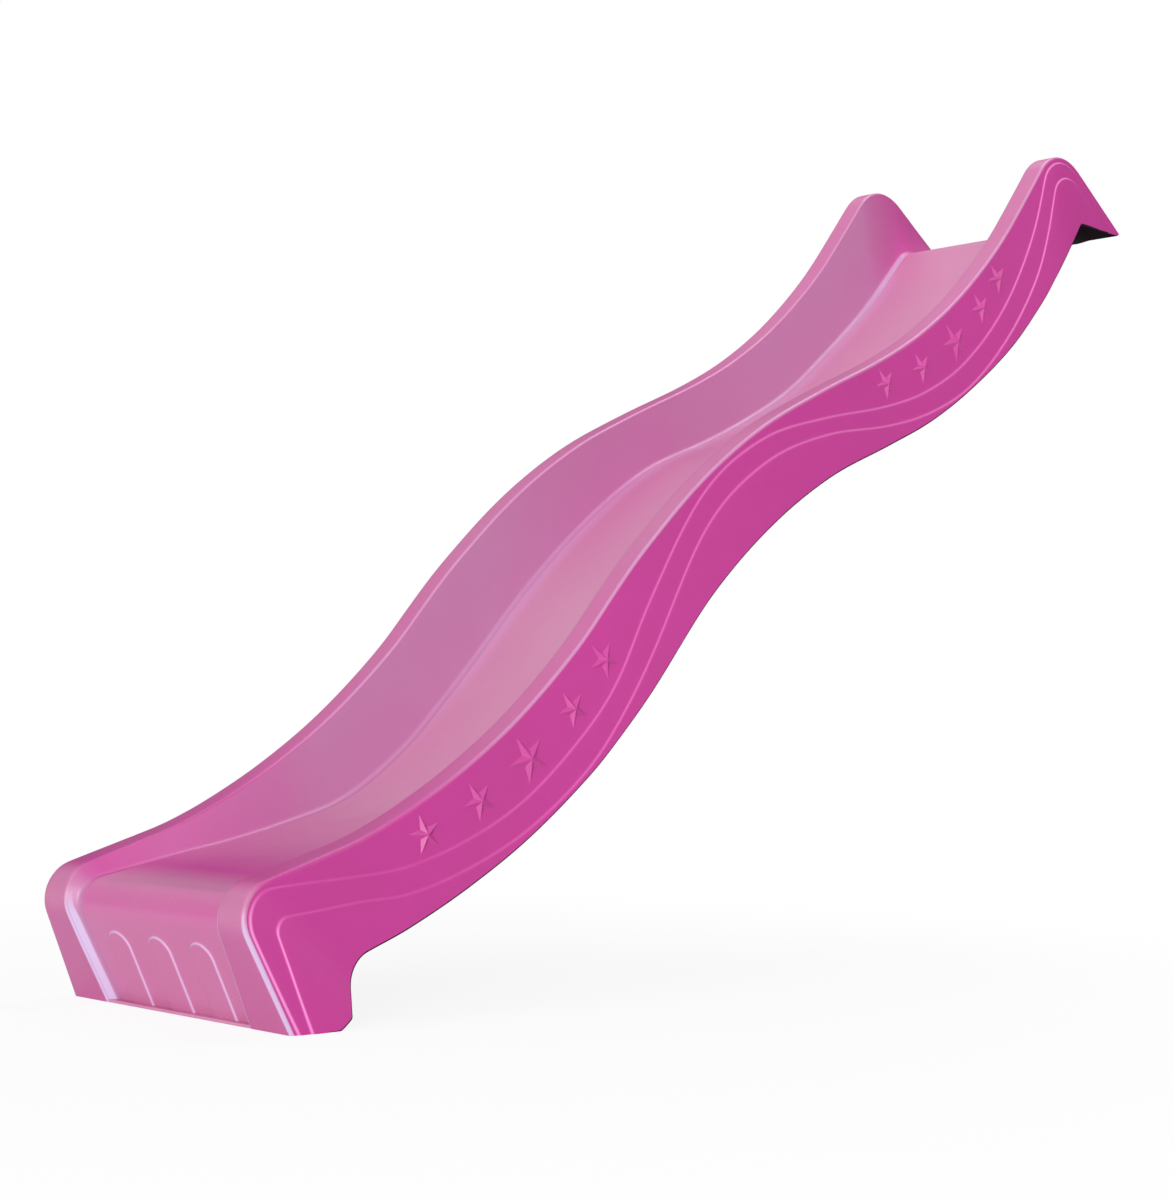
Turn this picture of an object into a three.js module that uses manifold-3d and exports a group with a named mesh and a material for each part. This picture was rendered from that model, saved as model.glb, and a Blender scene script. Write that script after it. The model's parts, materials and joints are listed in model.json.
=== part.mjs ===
// Playground slide, millimetres, +Z up. It is one moulded polyethylene shell with an
// open underside. +X runs from the foot up to the head, and the slide is mirrored
// across the plane Y = 0. Each face of the shell with a job of its own is a solid, cut
// into bays along the wave.

import * as THREE from 'three';
import Module from 'manifold-3d';
import { mergeVertices } from 'three/addons/utils/BufferGeometryUtils.js';

const wasm = await Module();
wasm.setup();

// Driving sizes
const runLength = 2134;          // front edge on the ground to the back of the head lip
const platformHeight = 1450;     // ground to the underside of the head lip
const rimSpan = 500;             // outside width over the two rims
const rimWidth = 42;
const wallRun = 30;              // sideways run of an inner wall between bed and rim
const skirtDepth = 230;          // deepest side panel, rim to lower edge
const skirtDraftDegrees = 6.5;
const shellThickness = 4.5;
const seamClearance = 0.3;

// Roundings across the shell
const creaseRadius = 10;         // bed to inner wall
const rimEdgeRadius = 5;

// Side panel relief
const stepHeight = 3;
const stepWidth = 5;
const firstStepInset = 11.5;     // first step behind the front edge of the foot
const secondStepInset = 30;
const secondStepTopInset = 48;

// Foot
const noseHeight = 192;          // ground to the sharp corner that the nose rounds off
const frontLeanDegrees = 25.8;   // front face from the vertical, leaning back to the ground
const noseRadius = 55;
const bedNoseRadius = 40;
const firstStepNoseRadius = 43;
const secondStepNoseRadius = 20;
const footRecess = 15;           // bed and apron behind the rims
const footRimWidth = 94;         // rim on the ground
const footWallRun = 10;          // inner wall round the nose and down to the ground
const soleStart = 60;
const soleEnd = 82;
const heelChamferLength = 19.5;
const heelChamferHeight = 14.8;
const heelLean = -0.5;
const heelRise = 13;             // start of the wave's lower edge above the heel's corner
const heelRadius = 52;

// Apron
const padCount = 3;
const padWidthShare = 0.108;     // of the span over the rims
const padPitchShare = 0.21;
const padTopShare = 0.667;       // of the nose height
const padBottom = 7;
const padArchSegments = 10;
const padHeight = 3;
const padSink = 2;
const flangeDepth = 22;

// Head
const crestRadius = 45;
const earRadius = 100;
const firstStepEarRadius = 70;
const secondStepEarRadius = 55;
const notchRadius = 12;
const earFlareDegrees = 14;      // rim widening inwards as it drops behind the ear
const rimEndRise = 1.5;          // rim above the lip at its back end
const firstStepBackInset = 17;   // steps in front of the back edge, along the lip
const secondStepBackInset = 55;
const edgeBackInset = 94;
const fixingHoleDiameter = 8;
const fixingHoleSpreadShare = 0.48;   // of the span over the rims
const fixingHoleInset = 60;      // hole centres in front of the lip's back edge
const holeFacets = 48;
const cutOverrun = 5;

// Stars
const starArmCount = 5;
const starRadius = 36;
const largeStarRadius = 46;
const starHeight = 6;
const starSink = 0.6;
const starInnerShare = 0.36;
const starTiltDegrees = -92;     // one arm points down
const lowestStarTiltDegrees = -109;

// The wave. Each row gives a place along the run, the rim's height as a share of the
// platform height, and how deep the bed, the first step, the second step and the
// lower edge lie below the rim, as shares of the skirt depth.
const waveShares = [
  [0.0637, 0.1807, 0.174, 0.222, 0.374, 0.680],
  [0.0989, 0.2034, 0.261, 0.330, 0.496, 0.702],
  [0.1528, 0.2469, 0.420, 0.452, 0.626, 0.741],
  [0.2095, 0.3048, 0.622, 0.552, 0.748, 0.802],
  [0.2690, 0.3828, 0.752, 0.591, 0.835, 0.885],
  [0.3027, 0.4386, 0.804, 0.583, 0.830, 0.946],
  [0.3322, 0.4855, 0.826, 0.400, 0.743, 0.963],
  [0.3993, 0.5752, 0.735, 0.100, 0.343, 0.841],
  [0.4705, 0.6476, 0.611, 0.091, 0.270, 0.754],
  [0.5464, 0.7034, 0.487, 0.217, 0.348, 0.680],
  [0.6275, 0.7566, 0.511, 0.383, 0.539, 0.693],
  [0.6846, 0.8014, 0.546, 0.487, 0.665, 0.737],
  [0.7441, 0.8628, 0.624, 0.552, 0.770, 0.798],
  [0.8065, 0.9476, 0.709, 0.522, 0.783, 0.902],
  [0.8552, 1.0331, 0.867, 0.357, 0.713, 0.989],
  [0.8735, 1.0669, 0.913, 0.152, 0.539, 0.998],
];

// Corners of the foot and head outlines: heights as shares of the nose height, then
// places as shares of the run and the platform height.
const bedNoseShare = 0.943;
const firstStepNoseShare = 1.026;
const secondStepNoseShare = 0.828;
const earCornerShares = [0.9025, 1.118];
const firstStepEarShares = [0.8946, 1.111];
const secondStepEarShares = [0.8997, 1.0876];
const crestShare = 0.925;
const notchShare = 0.926;

// How much of the foot's own rim width and wall run is left, from the ground to the wave.
const footRimShares = [1, 0.8, 0.6, 0.45, 0.4, 0.35, 0.3, 0.25, 0.2, 0.15, 0.1, 0.04, 0];
const footWallShares = [1, 1, 1, 1, 0.95, 0.9, 0.8, 0.7, 0.6, 0.5, 0.3, 0.15, 0];

// Stars: place along the run, and depth below the rim as a share of the skirt depth.
const starShares = [
  [0.1186, 0.222], [0.1673, 0.283], [0.2142, 0.330], [0.2573, 0.348], [0.2896, 0.322],
  [0.6322, 0.213], [0.6823, 0.278], [0.7310, 0.317], [0.7709, 0.291], [0.7980, 0.243],
];
const largeStars = [2, 7];

const lipTop = platformHeight + shellThickness;
const skirtDraft = Math.tan(THREE.MathUtils.degToRad(skirtDraftDegrees));
const earFlare = Math.tan(THREE.MathUtils.degToRad(earFlareDegrees));
const frontLean = THREE.MathUtils.degToRad(frontLeanDegrees);
const filletLimitShare = 0.45;    // of the shorter line beside a corner
const loneCornerShare = 0.95;     // where no other corner needs that line

// Stations along the slide, counted from the ground: up the apron, round the nose, to
// the wave's start, the lower, middle and upper bays, the wave's end, the lip and its
// back edge.
const runningTotals = (counts) => counts.map((count, k) => counts.slice(0, k).reduce((a, b) => a + b, count));
const rowCounts = [3, 6, 3, 10, 8, 10, 2, 11, 5];
const [
  apronTopRow, noseCrownRow, waveStartRow, lowerBayRow, middleBayRow,
  upperBayRow, waveEndRow, lipStartRow, lastRow,
] = runningTotals(rowCounts);
const footCounts = rowCounts.slice(0, 3);
const secondStepFootCounts = [4, 4, 4];
const heelCounts = [2, 1, 4, 5];
const earCounts = [1, 7, 8];
const secondStepEarCounts = [4, 5, 7];
const crestCounts = [7, 3, 6];
const notchCounts = [9, 1, 6];

const at = (x, z) => new THREE.Vector3(x, 0, z);
const placed = ([xShare, zShare]) => at(xShare * runLength, zShare * platformHeight);

// A value of the wave table at a place along the run, on a smooth curve.
function waveValue(x, column) {
  const places = waveShares.map((row) => row[0] * runLength);
  const last = places.length - 1;
  const slope = (k) => {
    const before = Math.max(k - 1, 0);
    const after = Math.min(k + 1, last);
    return (waveShares[after][column] - waveShares[before][column]) / (places[after] - places[before]);
  };
  let k = 0;
  while (k < last - 1 && x > places[k + 1]) k += 1;
  const span = places[k + 1] - places[k];
  const t = THREE.MathUtils.clamp((x - places[k]) / span, 0, 1);
  const [from, to] = [waveShares[k][column], waveShares[k + 1][column]];
  return from * (1 + 2 * t) * (1 - t) ** 2 + slope(k) * span * t * (1 - t) ** 2
    + to * t * t * (3 - 2 * t) - slope(k + 1) * span * t * t * (1 - t);
}
const rimHeight = (x) => waveValue(x, 1) * platformHeight;
const belowRim = (x, column) => at(x, rimHeight(x) - waveValue(x, column) * skirtDepth);

// Points of the arc that rounds a corner, from its first tangent point to its last.
function roundCorner(before, corner, after, radius, steps, limitShare = filletLimitShare) {
  const back = before.clone().sub(corner);
  const ahead = after.clone().sub(corner);
  const limit = limitShare * Math.min(back.length(), ahead.length());
  back.normalize();
  ahead.normalize();
  const half = back.angleTo(ahead) / 2;
  const tangent = Math.min(radius / Math.tan(half), limit);
  const arcRadius = tangent * Math.tan(half);
  const start = corner.clone().addScaledVector(back, tangent);
  const middle = back.clone().add(ahead).normalize();
  const centre = corner.clone().addScaledVector(middle, tangent / Math.cos(half));
  const out = start.clone().sub(centre).normalize();
  const turn = Math.PI - 2 * half;
  return Array.from({ length: steps + 1 }, (_, k) => {
    const angle = turn * k / steps;
    return centre.clone().addScaledVector(out, arcRadius * Math.cos(angle))
      .addScaledVector(back, -arcRadius * Math.sin(angle));
  });
}

// Points between two places, the last place left out.
const spread = (from, to, steps) => Array.from(
  { length: steps }, (_, k) => from.clone().lerp(to, k / steps));

// A rail of two straight stretches with a rounded corner between them.
function cornerRail(start, corner, end, radius, [before, round, after]) {
  const arc = roundCorner(start, corner, end, radius, round, loneCornerShare);
  return [...spread(start, arc[0], before), ...arc.slice(0, -1), ...spread(arc[round], end, after), end];
}

// A point of the front face, which leans, at a height and a distance behind the rims.
const frontPoint = (inset, height) => at(inset / Math.cos(frontLean) - height * Math.tan(frontLean), height);

// The five rails run from the ground, up the front, round the nose, along the wave,
// over the ear and down to the lip. A station is one place on each of them.
const waveStart = waveShares[0][0] * runLength;
const waveEnd = waveShares[waveShares.length - 1][0] * runLength;
const waveStations = spread(at(waveStart, 0), at(waveEnd, 0), waveEndRow - waveStartRow)
  .slice(1).map((p) => p.x);
const waveRail = (pointAt) => waveStations.map(pointAt);

function rail(pointAt, foot, head) {
  return [
    ...cornerRail(foot.start, foot.corner, pointAt(waveStart), foot.radius, foot.counts),
    ...waveRail(pointAt),
    ...cornerRail(pointAt(waveEnd), head.corner, head.end, head.radius, head.counts),
  ];
}

const rimRail = rail(
  (x) => at(x, rimHeight(x)),
  { start: frontPoint(0, 0), corner: frontPoint(0, noseHeight), radius: noseRadius, counts: footCounts },
  {
    corner: placed(earCornerShares),
    end: at(runLength, lipTop + rimEndRise),
    radius: earRadius,
    counts: earCounts,
  });

const bedRail = rail(
  (x) => belowRim(x, 2),
  {
    start: frontPoint(footRecess, 0),
    corner: frontPoint(footRecess, noseHeight * bedNoseShare),
    radius: bedNoseRadius,
    counts: footCounts,
  },
  {
    corner: at(crestShare * runLength, lipTop),
    end: at(runLength, lipTop),
    radius: crestRadius,
    counts: crestCounts,
  });

const firstStepRail = rail(
  (x) => belowRim(x, 3),
  {
    start: frontPoint(firstStepInset, 0),
    corner: frontPoint(firstStepInset, noseHeight * firstStepNoseShare),
    radius: firstStepNoseRadius,
    counts: footCounts,
  },
  {
    corner: placed(firstStepEarShares),
    end: at(runLength - firstStepBackInset, platformHeight),
    radius: firstStepEarRadius,
    counts: earCounts,
  });

const secondStepRail = rail(
  (x) => belowRim(x, 4),
  {
    start: frontPoint(secondStepInset, 0),
    corner: frontPoint(secondStepTopInset, noseHeight * secondStepNoseShare),
    radius: secondStepNoseRadius,
    counts: secondStepFootCounts,
  },
  {
    corner: placed(secondStepEarShares),
    end: at(runLength - secondStepBackInset, platformHeight),
    radius: secondStepEarRadius,
    counts: secondStepEarCounts,
  });

const edgeRail = lowerEdge((x) => belowRim(x, 5));

// The lower edge: flat on the ground, chamfered heel, rounded up into the wave, and
// at the head a rounded notch under the lip.
function lowerEdge(pointAt) {
  const [sole, chamfer, heel, round] = heelCounts;
  const footEnd = pointAt(waveStart);
  const chamferTop = at(soleEnd + heelChamferLength, heelChamferHeight);
  const heelTop = at(soleEnd + heelChamferLength + heelLean, footEnd.z - heelRise);
  const heelArc = roundCorner(chamferTop, heelTop, footEnd, heelRadius, round - 1, loneCornerShare);
  return [
    ...spread(at(soleStart, 0), at(soleEnd, 0), sole),
    ...spread(at(soleEnd, 0), chamferTop, chamfer),
    ...spread(chamferTop, heelArc[0], heel),
    ...heelArc,
    footEnd,
    ...waveRail(pointAt),
    ...cornerRail(
      pointAt(waveEnd), at(notchShare * runLength, platformHeight),
      at(runLength - edgeBackInset, platformHeight), notchRadius, notchCounts),
  ];
}

// The side panel leans outwards as it goes down from the rim's crown above it.
const earCrownRow = rimRail.reduce((best, p, k) => (p.z > rimRail[best].z ? k : best), 0);
const crownRail = rimRail.slice(noseCrownRow, earCrownRow + 1);
function crownHeight(x) {
  const k = crownRail.findIndex((p) => p.x >= x);
  if (k === 0) return crownRail[0].z;
  if (k < 0) return crownRail[crownRail.length - 1].z;
  const [from, to] = [crownRail[k - 1], crownRail[k]];
  return THREE.MathUtils.mapLinear(x, from.x, to.x, from.z, to.z);
}
const panelY = (x, z) => rimSpan / 2 + skirtDraft * (crownHeight(x) - z);
const onPanel = (p, relief) => new THREE.Vector3(p.x, panelY(p.x, p.z) + relief, p.z);
function towards(from, to, distance) {
  return from.clone().addScaledVector(to.clone().sub(from).normalize(), distance);
}

// Columns of the half shell at one station, from the middle of the bed to the lower
// edge: the flat bed, the inner wall with its crease, the rim, the side panel.
const creaseSteps = 3;
const rimEdgeSteps = 2;
const panelColumns = 5;
const [bedEdgeColumn, wallTopColumn, panelTopColumn, edgeColumn] = runningTotals(
  [1, creaseSteps + 1, 2 * rimEdgeSteps + 1, panelColumns]);

function rimWidthAt(k) {
  const atFoot = footRimShares[Math.min(k, waveStartRow)] * (footRimWidth - rimWidth);
  const atHead = k > earCrownRow ? earFlare * (rimRail[earCrownRow].z - rimRail[k].z) : 0;
  return rimWidth + atFoot + atHead;
}

const wallRunAt = (k) => wallRun + footWallShares[Math.min(k, waveStartRow)] * (footWallRun - wallRun);

function station(k) {
  const bed = bedRail[k];
  const rimOut = onPanel(rimRail[k], 0);
  const rimIn = rimOut.clone().setY(rimOut.y - rimWidthAt(k));
  const bedEdge = bed.clone().setY(rimIn.y - wallRunAt(k));
  const firstStep = onPanel(firstStepRail[k], 0);
  const secondStep = onPanel(secondStepRail[k], stepHeight);
  const edge = onPanel(edgeRail[k], 2 * stepHeight);
  return [
    bed,
    ...roundCorner(bed, bedEdge, rimIn, creaseRadius, creaseSteps),
    ...roundCorner(bedEdge, rimIn, rimOut, rimEdgeRadius, rimEdgeSteps),
    ...roundCorner(rimIn, rimOut, firstStep, rimEdgeRadius, rimEdgeSteps),
    towards(firstStep, rimOut, stepWidth / 2),
    onPanel(towards(firstStepRail[k], secondStepRail[k], stepWidth / 2), stepHeight),
    onPanel(towards(secondStepRail[k], firstStepRail[k], stepWidth / 2), stepHeight),
    onPanel(towards(secondStepRail[k], edgeRail[k], stepWidth / 2), 2 * stepHeight),
    edge,
  ];
}
const outerShell = rimRail.map((p, k) => station(k));

// The inner face lies a shell thickness behind the outer one. An edge that stands on
// the ground or on the platform is cut flat.
function behind(point, normal) {
  const inner = point.clone().addScaledVector(normal, -shellThickness);
  if (point.z === 0 || point.z === platformHeight) inner.z = point.z;
  return inner;
}

function faceNormal(row, column) {
  const [a, b] = [outerShell[row][column], outerShell[row][column + 1]];
  const [c, d] = [outerShell[row + 1][column], outerShell[row + 1][column + 1]];
  return d.clone().sub(a).cross(b.clone().sub(c)).normalize();
}

const innerShell = outerShell.map((points, row) => points.map((point, column) => {
  const normal = new THREE.Vector3();
  for (const r of [row - 1, row]) {
    for (const c of [column - 1, column]) {
      const inside = r >= 0 && c >= 0 && r < outerShell.length - 1 && c < points.length - 1;
      if (inside) normal.add(faceNormal(r, c));
    }
  }
  return behind(point, normal.normalize());
}));

// Part of a grid of points. Its first and last rows and columns can be drawn in, so
// that two neighbouring sections each stop half a seam short of their common line.
function block(grid, [fromRow, toRow], [fromColumn, toColumn], rowTrims, columnTrims) {
  const drawnIn = (lines, [first, last]) => lines.map((points, k) => {
    if (k === 0 && first) return points.map((p, n) => towards(p, lines[1][n], first));
    if (k === lines.length - 1 && last) return points.map((p, n) => towards(p, lines[k - 1][n], last));
    return points;
  });
  const turned = (lines) => lines[0].map((p, n) => lines.map((points) => points[n]));
  const rows = grid.slice(fromRow, toRow + 1).map((row) => row.slice(fromColumn, toColumn + 1));
  return drawnIn(turned(drawnIn(turned(rows), columnTrims)), rowTrims);
}

// A closed solid between an outer and an inner grid of points.
function sheet(outer, inner) {
  const [rows, columns] = [outer.length, outer[0].length];
  const points = [...outer.flat(), ...inner.flat()];
  const index = (layer, row, column) => layer * rows * columns + row * columns + column;
  const triangles = [];
  const quad = (a, b, c, d) => triangles.push(a, b, c, a, c, d);
  for (let r = 0; r < rows - 1; r += 1) {
    for (let c = 0; c < columns - 1; c += 1) {
      quad(index(0, r, c), index(0, r, c + 1), index(0, r + 1, c + 1), index(0, r + 1, c));
      quad(index(1, r, c), index(1, r + 1, c), index(1, r + 1, c + 1), index(1, r, c + 1));
    }
    quad(index(0, r, 0), index(0, r + 1, 0), index(1, r + 1, 0), index(1, r, 0));
    const end = columns - 1;
    quad(index(0, r, end), index(1, r, end), index(1, r + 1, end), index(0, r + 1, end));
  }
  for (let c = 0; c < columns - 1; c += 1) {
    quad(index(0, 0, c), index(1, 0, c), index(1, 0, c + 1), index(0, 0, c + 1));
    const end = rows - 1;
    quad(index(0, end, c), index(0, end, c + 1), index(1, end, c + 1), index(1, end, c));
  }
  return closedGeometry(points, triangles);
}

// A geometry whose faces point out, whichever way round its triangles came.
function closedGeometry(points, triangles) {
  let volume = 0;
  for (let k = 0; k < triangles.length; k += 3) {
    const [a, b, c] = triangles.slice(k, k + 3).map((n) => points[n]);
    volume += a.dot(b.clone().cross(c));
  }
  const geometry = new THREE.BufferGeometry().setFromPoints(points);
  geometry.setIndex(volume > 0 ? triangles : [...triangles].reverse());
  return geometry;
}

// Joining and cutting
function solid(geometry) {
  const bare = geometry.clone();
  bare.deleteAttribute('normal');
  bare.deleteAttribute('uv');
  const merged = mergeVertices(bare);
  return new wasm.Manifold(new wasm.Mesh({
    numProp: 3,
    vertProperties: new Float32Array(merged.attributes.position.array),
    triVerts: new Uint32Array(merged.index.array),
  }));
}

function geometryOf(body) {
  const mesh = body.getMesh();
  const geometry = new THREE.BufferGeometry();
  geometry.setAttribute('position', new THREE.BufferAttribute(new Float32Array(mesh.vertProperties), 3));
  geometry.setIndex(new THREE.BufferAttribute(new Uint32Array(mesh.triVerts), 1));
  return geometry;
}

const withPieces = (geometry, pieces) => geometryOf(
  pieces.reduce((body, piece) => body.add(solid(piece)), solid(geometry)));
const withoutPieces = (geometry, pieces) => geometryOf(
  pieces.reduce((body, piece) => body.subtract(solid(piece)), solid(geometry)));

// Side = 1 is the half with +Y, side = -1 its mirror image.
const mirrored = (side) => (p) => new THREE.Vector3(p.x, side * p.y, p.z);
const halfSeam = seamClearance / 2;

// Only the ground and the slide's back end have no neighbour along the slide.
const rowTrims = ([from, to]) => [from > 0 ? halfSeam : 0, to < lastRow ? halfSeam : 0];

function sideSheet(side, rows, columns) {
  const columnTrims = [halfSeam, columns[1] < edgeColumn ? halfSeam : 0];
  const cut = (shell) => block(shell, rows, columns, rowTrims(rows), columnTrims)
    .map((row) => row.map(mirrored(side)));
  return sheet(cut(outerShell), cut(innerShell));
}

// Bed sections run across both halves, and their inner face is square to the bed.
const bedOuter = bedRail.map((p, k) => {
  const half = outerShell[k][bedEdgeColumn].y - halfSeam;
  return [-half, half].map((y) => p.clone().setY(y));
});
const bedInner = bedOuter.map((points, k) => {
  const along = bedRail[Math.min(k + 1, lastRow)].clone().sub(bedRail[Math.max(k - 1, 0)]).normalize();
  return points.map((p) => behind(p, new THREE.Vector3(-along.z, 0, along.x)));
});

function bedSheet(rows, trims = rowTrims(rows)) {
  const cut = (grid) => block(grid, rows, [0, 1], trims, [0, 0]);
  return sheet(cut(bedOuter), cut(bedInner));
}

// Apron pads: flat raised pads with an arched top.
function apronPads() {
  const half = padWidthShare * rimSpan / 2;
  const top = padTopShare * noseHeight;
  const outline = new THREE.Shape()
    .moveTo(-half, padBottom)
    .lineTo(half, padBottom)
    .lineTo(half, top - half)
    .absarc(0, top - half, half, 0, Math.PI, false);
  const up = new THREE.Vector3(-Math.sin(frontLean), 0, Math.cos(frontLean));
  const across = new THREE.Vector3(0, -1, 0);
  const out = across.clone().cross(up);
  const foot = frontPoint(footRecess, 0).addScaledVector(out, -padSink);
  return Array.from({ length: padCount }, (_, k) => {
    const pad = new THREE.ExtrudeGeometry(
      outline, { depth: padHeight + padSink, bevelEnabled: false, curveSegments: padArchSegments });
    const y = padPitchShare * rimSpan * (k - (padCount - 1) / 2);
    pad.applyMatrix4(new THREE.Matrix4().makeBasis(across, up, out).setPosition(foot.x, y, foot.z));
    return pad;
  });
}

// A five-pointed star with sharp ridges, standing on the panel, one arm down.
function starCentre([xShare, depthShare]) {
  return at(xShare * runLength, rimHeight(xShare * runLength) - depthShare * skirtDepth);
}

function star(side, k) {
  const centre = starCentre(starShares[k]);
  const radius = largeStars.includes(k) ? largeStarRadius : starRadius;
  const tilt = THREE.MathUtils.degToRad(k === 0 ? lowestStarTiltDegrees : starTiltDegrees);
  const ring = Array.from({ length: 2 * starArmCount }, (_, n) => {
    const reach = n % 2 === 0 ? radius : radius * starInnerShare;
    const angle = tilt + Math.PI * n / starArmCount;
    return onPanel(at(centre.x + reach * Math.cos(angle), centre.z + reach * Math.sin(angle)), -starSink);
  });
  const points = [...ring, onPanel(centre, starHeight), onPanel(centre, -2 * starSink)].map(mirrored(side));
  const [top, bottom] = [ring.length, ring.length + 1];
  const triangles = ring.flatMap((p, n) => {
    const next = (n + 1) % ring.length;
    return [n, next, top, next, n, bottom];
  });
  return closedGeometry(points, triangles);
}

function sidePanel(side, rows) {
  const [start, end] = rows.map((k) => rimRail[k].x);
  const stars = starShares.map((shares, k) => k).filter((k) => {
    const { x } = starCentre(starShares[k]);
    return x > start && x < end;
  });
  const panel = sideSheet(side, rows, [panelTopColumn, edgeColumn]);
  return withPieces(panel, stars.map((k) => star(side, k)));
}

// The flange along the foot of the apron stands on the ground, flush with the rims.
function groundFlange() {
  const half = outerShell[0][bedEdgeColumn].y - seamClearance;
  const outline = new THREE.Shape()
    .moveTo(0, 0)
    .lineTo(flangeDepth, 0)
    .lineTo(flangeDepth, shellThickness)
    .lineTo(frontPoint(0, shellThickness).x, shellThickness);
  const flange = new THREE.ExtrudeGeometry(outline, { depth: 2 * half, bevelEnabled: false });
  flange.rotateX(Math.PI / 2);
  flange.translate(0, half, 0);
  return flange;
}

function headLip() {
  const radius = fixingHoleDiameter / 2;
  const holes = [-1, 1].map((side) => {
    const cut = new THREE.CylinderGeometry(radius, radius, shellThickness + 2 * cutOverrun, holeFacets);
    cut.rotateX(Math.PI / 2);
    cut.translate(
      runLength - fixingHoleInset, side * fixingHoleSpreadShare * rimSpan / 2, lipTop - shellThickness / 2);
    return cut;
  });
  return withoutPieces(bedSheet([lipStartRow, lastRow]), holes);
}

function footApron() {
  const overFlange = (shellThickness + seamClearance) / Math.cos(frontLean);
  return withPieces(bedSheet([0, apronTopRow], [overFlange, halfSeam]), apronPads());
}

const plastic = (colour) => new THREE.MeshStandardMaterial({ color: colour, roughness: 0.35, metalness: 0 });
const slide = new THREE.Group();
function addSection(name, geometry, colour) {
  geometry.computeVertexNormals();
  const mesh = new THREE.Mesh(geometry, plastic(colour));
  mesh.name = name;
  slide.add(mesh);
}

const shellPink = 0xc3459a;
addSection('head_lip', headLip(), shellPink);
addSection('head_bed', bedSheet([upperBayRow, lipStartRow]), shellPink);
addSection('upper_bed', bedSheet([middleBayRow, upperBayRow]), shellPink);
addSection('middle_bed', bedSheet([lowerBayRow, middleBayRow]), shellPink);
addSection('lower_bed', bedSheet([waveStartRow, lowerBayRow]), shellPink);
addSection('foot_nose', bedSheet([apronTopRow, waveStartRow]), shellPink);
addSection('foot_apron', footApron(), shellPink);
addSection('ground_flange', groundFlange(), shellPink);

// Left and right are a sliding child's own, facing down the slide.
const bays = {
  head: [upperBayRow, lastRow],
  upper: [middleBayRow, upperBayRow],
  middle: [lowerBayRow, middleBayRow],
  lower: [waveStartRow, lowerBayRow],
  foot: [0, waveStartRow],
};
for (const [bay, rows] of Object.entries(bays)) {
  for (const [hand, side] of [['left', -1], ['right', 1]]) {
    addSection(`${bay}_${hand}_wall`, sideSheet(side, rows, [bedEdgeColumn, wallTopColumn]), shellPink);
    addSection(`${bay}_${hand}_rim`, sideSheet(side, rows, [wallTopColumn, panelTopColumn]), shellPink);
    addSection(`${bay}_${hand}_panel`, sidePanel(side, rows), shellPink);
  }
}

// The origin is the middle of the ground flange's underside.
slide.position.x = -flangeDepth / 2;

export default slide;
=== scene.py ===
import json
import math

import bpy
import numpy as np
from mathutils import Matrix, Vector

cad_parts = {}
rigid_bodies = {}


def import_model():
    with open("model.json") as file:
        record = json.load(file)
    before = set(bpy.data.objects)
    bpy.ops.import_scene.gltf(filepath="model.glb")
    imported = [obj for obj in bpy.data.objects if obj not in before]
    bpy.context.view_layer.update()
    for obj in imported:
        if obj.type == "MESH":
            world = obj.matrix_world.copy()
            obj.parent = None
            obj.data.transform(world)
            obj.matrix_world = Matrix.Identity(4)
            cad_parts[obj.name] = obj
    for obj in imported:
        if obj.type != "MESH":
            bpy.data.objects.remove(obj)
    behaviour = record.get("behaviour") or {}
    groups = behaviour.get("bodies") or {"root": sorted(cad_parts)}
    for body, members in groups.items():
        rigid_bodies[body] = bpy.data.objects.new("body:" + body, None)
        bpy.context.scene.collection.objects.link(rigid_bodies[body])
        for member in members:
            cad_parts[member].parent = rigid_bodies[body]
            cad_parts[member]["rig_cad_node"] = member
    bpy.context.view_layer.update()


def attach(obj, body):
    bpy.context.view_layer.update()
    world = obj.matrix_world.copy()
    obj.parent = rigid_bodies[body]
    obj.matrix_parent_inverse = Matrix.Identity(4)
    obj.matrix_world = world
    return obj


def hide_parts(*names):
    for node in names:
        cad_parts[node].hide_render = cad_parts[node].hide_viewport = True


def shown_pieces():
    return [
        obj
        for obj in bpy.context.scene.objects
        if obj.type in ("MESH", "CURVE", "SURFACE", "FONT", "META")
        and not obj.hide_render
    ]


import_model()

# The view. The slide is seen from beside its foot and a little above the ground, looking
# up along it, with the near side panel and the inside of the far wall in view.
camera_place = Vector((-1.846, -2.690, 0.452))
camera_yaw = math.radians(44.77)
camera_rise = math.radians(2.94)
camera_roll = math.radians(0.6)
camera_lens = 65.34
camera_shift = -0.00275
camera_sensor = 36
nearest_seen = 0.05
farthest_seen = 500

ahead = Vector((
    math.sin(camera_yaw) * math.cos(camera_rise),
    math.cos(camera_yaw) * math.cos(camera_rise),
    math.sin(camera_rise)))
level_right = Vector((math.cos(camera_yaw), -math.sin(camera_yaw), 0))
level_up = level_right.cross(ahead)
camera_right = level_right * math.cos(camera_roll) + level_up * math.sin(camera_roll)
camera_up = level_up * math.cos(camera_roll) - level_right * math.sin(camera_roll)

bpy.ops.object.select_all(action="DESELECT")
bpy.ops.object.camera_add()
camera = bpy.context.object
camera.name = "photo_view"
turn = Matrix((camera_right, camera_up, -ahead)).transposed().to_4x4()
camera.matrix_world = Matrix.Translation(camera_place) @ turn
camera.data.lens = camera_lens
camera.data.sensor_width = camera_sensor
camera.data.shift_y = camera_shift
camera.data.clip_start = nearest_seen
camera.data.clip_end = farthest_seen
bpy.context.scene.camera = camera


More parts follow.
